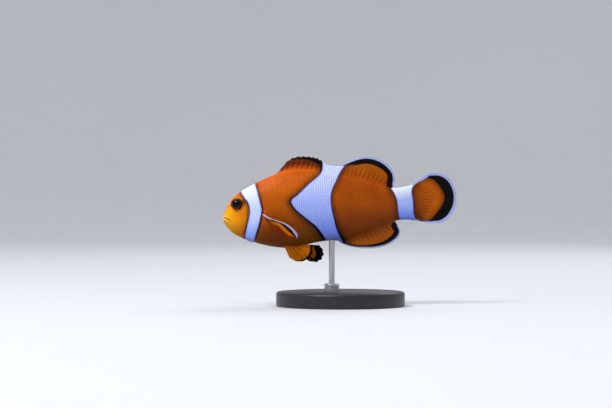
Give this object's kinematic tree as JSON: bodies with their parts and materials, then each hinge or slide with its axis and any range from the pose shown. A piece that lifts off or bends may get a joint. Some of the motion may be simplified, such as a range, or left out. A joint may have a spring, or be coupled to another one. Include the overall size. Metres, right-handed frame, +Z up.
{
  "type": "clownfish display model",
  "caption": "Life-size clownfish, orange with three white bars, still and swimming, held by a rod on a round base.",
  "frame": {"origin": "centre of the underside of the round base, which is also the bottom centre of the whole model's box", "axes": "+X from the fish's snout towards its tail, +Y towards its right side, +Z up"},
  "size_m": [0.0806, 0.044, 0.0514],
  "materials": {
    "skin": "satin painted fish skin with fine scales, orange with white bars edged in black",
    "fin": "satin ribbed fin, orange with a black band and a clear bluish margin",
    "eye": "glossy eye, brown and orange iris round a blue-black pupil",
    "stand_base": "satin black",
    "stand_metal": "brushed"
  },
  "bodies": {
    "root": {"head": "skin", "lower_jaw": "skin", "gill_cover_left": "skin", "gill_cover_right": "skin", "eye_left": "eye", "eye_right": "eye", "trunk": "skin", "tail_stalk": "skin", "dorsal_fin_front": "fin", "dorsal_fin_rear": "fin", "anal_fin": "fin", "caudal_fin": "fin", "pectoral_fin_left": "fin", "pectoral_fin_right": "fin", "pelvic_fin_left": "fin", "pelvic_fin_right": "fin", "stand_base": "stand_base", "stand_collar": "stand_metal", "stand_rod": "stand_metal"}
  },
  "joints": []
}
